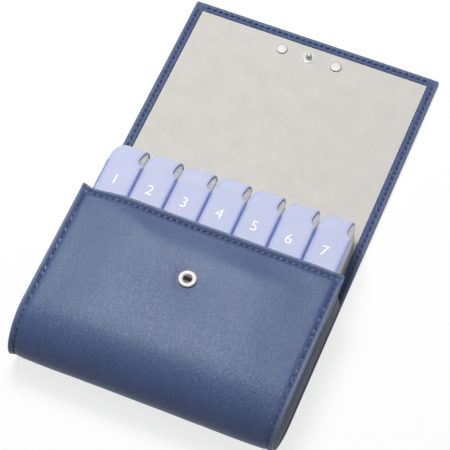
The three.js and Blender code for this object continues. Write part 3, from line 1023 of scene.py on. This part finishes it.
# Day boxes, trays. Seven clear pale-blue moulded trays stand side by side in the pouch. Each has
# four compartments, a round rear end, and a rounded nose that the cover wraps.
case_low, case_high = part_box("day_case_4")
box_half = (case_high[0] - case_low[0]) / 2
box_base = case_low[2]
box_top = case_high[2]
box_rear = case_low[1]
nose_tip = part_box("day_cover_4")[1][1]
box_wall = 0.0009
box_floor = 0.0010
well_half = box_half - box_wall
end_radius = 0.0100
end_centre = box_rear + end_radius
nose_long = 0.02215
nose_start = nose_tip - nose_long
nose_height = 0.0120
nose_under = nose_tip - 0.00915
nose_tall = box_top - nose_height
set_back = 0.0014
tray_tip = nose_tip - set_back
shoulder = nose_start + 0.0020
corners_start = shoulder + 0.0020
corner_wide = 0.0070
side_top = box_top - 0.00012
cut_past = 0.0010
least_step = 0.0001


def arc(cy, cz, ry, rz, start, end, steps=14):
    """Points of an elliptical arc, with angles in quarter turns."""
    angles = [(start + (end - start) * i / steps) * math.pi / 2 for i in range(steps + 1)]
    return [(cy + ry * math.cos(a), cz + rz * math.sin(a)) for a in angles]


def tray_side(wall):
    """The tray's outline from the side, thinner all round by wall."""
    low = box_base + wall
    tip = tray_tip - wall
    size = end_radius - wall
    rear_low = arc(end_centre, box_base + end_radius, size, size, 2, 3)
    rear_top = arc(end_centre, box_top - end_radius, size, size, 1, 2)
    under = arc(nose_under, nose_height, tip - nose_under, nose_height - low, -1, 0)
    over = arc(nose_start, nose_height, tip - nose_start, nose_tall - set_back - wall, 0, 1, 28)
    return rear_low, under, [point for point in over if point[0] > shoulder], rear_top


def prism(points, axis, first, last):
    """A closed block with an outline of (y, z) points along x, or (x, y) points along z."""
    shaped = bmesh.new()
    ends = []
    for reach in (first, last):
        places = [(reach, u, v) if axis == "x" else (u, v, reach) for u, v in points]
        ends.append([shaped.verts.new(place) for place in places])
    shaped.faces.new(list(reversed(ends[0])))
    shaped.faces.new(ends[1])
    for i in range(len(points)):
        j = (i + 1) % len(points)
        shaped.faces.new((ends[0][i], ends[0][j], ends[1][j], ends[1][i]))
    mesh = bpy.data.meshes.new("prism")
    settle(shaped, mesh)
    return mesh


def slab(half, y0, y1, z0, z1):
    """A plain block across the box, equally far to both sides."""
    return prism([(-half, y0), (half, y0), (half, y1), (-half, y1)], "z", z0, z1)


def carve(name, body, *steps):
    """A mesh made by joining, cutting or keeping in turn; steps are (operation, other mesh)."""
    made = linked(name, body)
    for operation, other in steps:
        helper = linked("helper", other)
        rule = made.modifiers.new("carve", "BOOLEAN")
        rule.operation = operation
        rule.solver = "EXACT"
        rule.object = helper
        bake(made)
        bpy.data.objects.remove(helper)
    return made


def tray_plan(half, tip, corner):
    """The tray or its well from above, with the two long round corners of the nose."""
    long = tip - corners_start
    return ([(-half, box_rear - cut_past), (half, box_rear - cut_past)]
            + arc(half - corner, corners_start, corner, long, 0, 1, 18)
            + arc(corner - half, corners_start, corner, long, 1, 2, 18))


rear_low, under, over, rear_top = tray_side(0)
tray_outline = rear_low + under + over + [
    (shoulder, over[-1][1]), (shoulder, side_top), (end_centre, side_top)]
tray_outline += [point for point in rear_top if point[1] < side_top - least_step]
rear_low, under, over, rear_top = tray_side(box_floor)
well_front = shoulder - box_floor
well_rear = end_centre + 0.0002
well_lip = box_top - box_floor - 0.0007
well_top = box_top + cut_past
well_outline = rear_low + under + [point for point in over if point[0] > well_front]
well_outline += [(well_front, over[-1][1]), (well_front, well_top), (well_rear, well_top),
                 (well_rear, well_lip)]
well_outline += [point for point in rear_top if point[1] < well_lip - 2 * least_step]
plan_high = 0.05
well_plan = tray_plan(well_half, tray_tip - box_floor, corner_wide - box_wall)
well = carve("well", prism(well_outline, "x", -well_half, well_half),
             ("INTERSECT", prism(well_plan, "z", 0, plan_high)))

compartments = 4
divider_thick = 0.0009
divider_half = well_half + 0.0003
divider_foot = box_base + 0.0005
well_start = box_rear + box_floor
last_divider = nose_start - 0.0095
divider_step = (last_divider - well_start + divider_thick) / compartments
seat_half = 0.0093
seat_level = box_top - 0.00065
groove_half = well_half + 0.0005
groove_low = box_top - 0.00135
groove_high = box_top - 0.00100
groove_front = shoulder + 0.0010
divider_top = groove_low - 0.0002
carving = [("INTERSECT", prism(tray_plan(box_half, tray_tip, corner_wide), "z", 0, plan_high)),
           ("DIFFERENCE", well.data),
           ("DIFFERENCE", slab(seat_half, well_rear, groove_front, seat_level, well_top)),
           ("DIFFERENCE", slab(groove_half, well_rear, groove_front, groove_low, groove_high))]
for k in range(1, compartments + 1):
    y = well_start + k * divider_step - divider_thick
    carving.append(("UNION", slab(divider_half, y, y + divider_thick, divider_foot, divider_top)))
tray = carve("tray", prism(tray_outline, "x", -box_half, box_half), *carving)
bpy.data.objects.remove(well)
soft_edges = tray.modifiers.new("soften", "BEVEL")
soft_edges.width = 0.00022
soft_edges.segments = 2
soft_edges.limit_method = "ANGLE"
soft_edges.angle_limit = math.radians(35)
soft_edges.use_clamp_overlap = True
bake(tray)
smooth(tray.data, 28)

# The upper walls behind the nose turn deeper blue and more opaque: a painted glow of light carried in
# the clear walls.
rim_fade = (box_top - 0.0060, box_top - 0.0010)
clear_blue, tree, shader = new_finish("clear_blue_plastic")
flow = speckle(tree, object_spot(tree), scale=220, detail=2)
tray_map = add(tree, "ShaderNodeUVMap", uv_map="tray")
tray_spot = add(tree, "ShaderNodeSeparateXYZ", {"Vector": tray_map})
near_top = ranged(tree, tray_spot.outputs["Y"], 0, 1, *rim_fade)
behind_nose = ranged(tree, tray_spot.outputs["X"], 0, 1, corners_start, shoulder)
painted_rim_glow = maths(tree, "MULTIPLY", near_top, behind_nose)
case_tone = between(tree, flow, (0.27, 0.37, 0.95), (0.33, 0.43, 0.98))
grazing = add(tree, "ShaderNodeLayerWeight", {"Blend": 0.4}).outputs["Facing"]
fill(tree, shader, {
    "Base Color": between(tree, painted_rim_glow, (0.68, 0.67, 0.75), case_tone),
    "Roughness": ranged(tree, flow, 0.03, 0.14), "IOR": 1.5,
    "Alpha": ranged(tree, grazing, ranged(tree, painted_rim_glow, 0.18, 0.75), 0.92),
    "Subsurface Weight": 0.5, "Subsurface Radius": (0.8, 0.9, 1.2), "Subsurface Scale": 0.003})
box_centres = []
for day in range(1, 8):
    day_low, day_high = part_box(f"day_case_{day}")
    box_centres.append(Vector(((day_low[0] + day_high[0]) / 2, day_low[1] - box_rear, 0)))
    mesh = tray.data.copy()
    layer = mesh.uv_layers.new(name="tray")
    for corner in mesh.loops:
        layer.data[corner.index].uv = mesh.vertices[corner.vertex_index].co.yz
    mesh.transform(Matrix.Translation(box_centres[-1]))
    case = linked(f"tray_{day}", mesh, clear_blue)
    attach(case, f"day_box_{day}")
    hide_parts(f"day_case_{day}")
bpy.data.objects.remove(tray)


# Day boxes, covers. A frosted pale-blue plate caps each tray and slides in its grooves by two thin
# tongues. Its curved nose has one long round corner and one long notch, where the clear tray shows.
cover_thick = 0.0011
plate_half = 0.0092
core_half = 0.00865
tongue_half = 0.00915
tongue_top = 0.00106
tongue_low = 0.00129
edge_soft = 0.00055
notch_wide = 0.00375
notch_round = 0.0050
cover_rear = well_rear + 0.0002
widening = (shoulder - 0.0002, shoulder + 0.0020)


def cover_edge(y):
    """Half the width of a cover: beside the tray's walls, then over them."""
    return plate_half + (box_half - plate_half) * ease(y, *widening)


def cover_left(y):
    """The left edge of a cover, with the nose's long round corner."""
    share = min(1, max(0, (y - corners_start) / (nose_tip - corners_start)))
    return corner_wide * (1 - math.sqrt(1 - share * share)) - cover_edge(y)


def cover_right(y):
    """The right edge of a cover, with the notch."""
    share = min(1, max(0, (corners_start + notch_round - y) / notch_round))
    return cover_edge(y) - notch_wide * math.sqrt(1 - share * share)


def cover_place(x, depth, y):
    """A place in the plate, which is straight behind the nose and then bends round it."""
    if y <= nose_start:
        return Vector((x, y, box_top - depth))
    angle = math.asin(min(1, (y - nose_start) / nose_long))
    return Vector((x, nose_start + (nose_long - depth) * math.sin(angle),
                   nose_height + (nose_tall - depth) * math.cos(angle)))


rounding = [(edge_soft * (1 - math.cos(a)), edge_soft * (1 - math.sin(a)))
            for a in (0, 0.26, 0.52, 0.79, 1.05, 1.31, 1.57)]
cover_parts = 10
nose_levels = [edge_soft + (cover_thick - edge_soft) * i / 6 for i in range(1, 7)]
step_level = edge_soft + 0.00003
edge_glow = 0.0004


def between_ends(first, last, depth):
    """Points between two edges of a cover's section, without the ends."""
    return [(first + (last - first) * i / cover_parts, depth) for i in range(1, cover_parts)]


def cover_section(y, in_nose):
    """One closed loop round the plate: its top, its right side, its underside and its left side."""
    left, right = cover_left(y), cover_right(y)
    row = [(left + inset, depth) for inset, depth in rounding]
    row += between_ends(left + edge_soft, right - edge_soft, 0)
    row += [(right - inset, depth) for inset, depth in reversed(rounding)]
    if in_nose:
        row += [(right, depth) for depth in nose_levels] + between_ends(right, left, cover_thick)
        row += [(left, depth) for depth in reversed(nose_levels)]
    else:
        side = [(plate_half, step_level), (core_half, step_level), (core_half, tongue_top),
                (tongue_half, tongue_top), (tongue_half, tongue_low), (core_half, tongue_low)]
        row += side + between_ends(core_half, -core_half, tongue_low)
        row += [(-x, depth) for x, depth in reversed(side)]
    section = []
    for x, depth in row:
        inset = min(x - left, right - x)
        # Sides and rounded edges get a deeper blue: a painted glow of light gathered in the plastic's
        # edges.
        edge = 1 if depth > 0 else math.exp(-(inset - edge_soft) / edge_glow)
        section.append((cover_place(x, depth, y), (x, y), edge))
    return section


frosted, tree, shader = new_finish("frosted_blue_plastic")
spot = object_spot(tree)
fine = speckle(tree, spot, scale=2400, detail=3)
milky = speckle(tree, spot, scale=70, detail=2)
frost_tone = between(tree, milky, (0.52, 0.56, 0.83), (0.59, 0.625, 0.86))
painted_edge_glow = add(tree, "ShaderNodeAttribute", attribute_name="wear_and_painted_light").outputs["Fac"]
# The deeper blue at the sides and edges is a painted glow of light gathered in the plastic.
fill(tree, shader, {
    "Base Color": between(tree, painted_edge_glow, frost_tone, (0.46, 0.52, 0.84)),
    "Roughness": ranged(tree, fine, 0.44, 0.56), "Normal": bumped(tree, fine, 0.15, 0.00003),
    "Subsurface Weight": 0.6, "Subsurface Radius": (0.8, 0.9, 1.2), "Subsurface Scale": 0.003,
    "Alpha": 0.94, "IOR": 1.46, "Specular IOR Level": 0.2})

plate_rows = 36
nose_rows = 44
plate_sections = [cover_section(cover_rear + (shoulder - cover_rear) * i / plate_rows, False)
                  for i in range(plate_rows + 1)]
first_turn = math.asin((shoulder - nose_start) / nose_long)
for i in range(nose_rows + 1):
    turned = first_turn + (math.pi / 2 - first_turn) * i / nose_rows
    y = nose_start + nose_long * math.sin(turned) + (0.00002 if i == 0 else 0)
    plate_sections.append(cover_section(y, True))
cover = loft("cover", plate_sections, frosted, 2 * len(rounding) + cover_parts - 1)
for day, centre in enumerate(box_centres, 1):
    mesh = cover.data.copy()
    mesh.transform(Matrix.Translation(centre))
    lid = linked(f"cover_{day}", mesh)
    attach(lid, f"day_lid_{day}")
    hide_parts(f"day_cover_{day}")
bpy.data.objects.remove(cover)


# Day marks. A plain white numeral from 1 to 7 is printed on each cover, a little way in from the
# mouth of the pouch, with a slightly raised coat of ink.
numeral_tall = 0.0062
numeral_before_tip = 0.0306
numeral_left = 0.0008
ink_thick = 0.00008
ink_proud = 0.3
white_ink, tree, shader = new_finish("white_ink")
cover_up = speckle(tree, object_spot(tree), scale=1500, detail=2)
fill(tree, shader, {"Base Color": between(tree, cover_up, (0.86, 0.87, 0.92), (0.95, 0.95, 0.97)),
                    "Roughness": 0.5})
for day, centre in enumerate(box_centres, 1):
    letter = bpy.data.curves.new(f"numeral_{day}", "FONT")
    letter.body = str(day)
    letter.extrude = 0.01
    letter.resolution_u = 6
    written = linked("numeral", letter)
    bpy.context.view_layer.update()
    mesh = as_mesh(written)
    bpy.data.objects.remove(written)
    low, high = [Vector([pick(vertex.co[i] for vertex in mesh.vertices) for i in range(3)])
                 for pick in (min, max)]
    scale = numeral_tall / (high.y - low.y)
    mesh.transform(Matrix.Translation(-(low + high) / 2))
    mesh.transform(Matrix.Diagonal((scale, scale, ink_thick / (high.z - low.z), 1)))
    mesh.transform(Matrix.Translation(centre + Vector((
        -numeral_left, nose_tip - numeral_before_tip, box_top + ink_thick * ink_proud))))
    mesh.materials.clear()
    numeral = linked(f"numeral_{day}", mesh, white_ink)
    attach(numeral, f"day_lid_{day}")
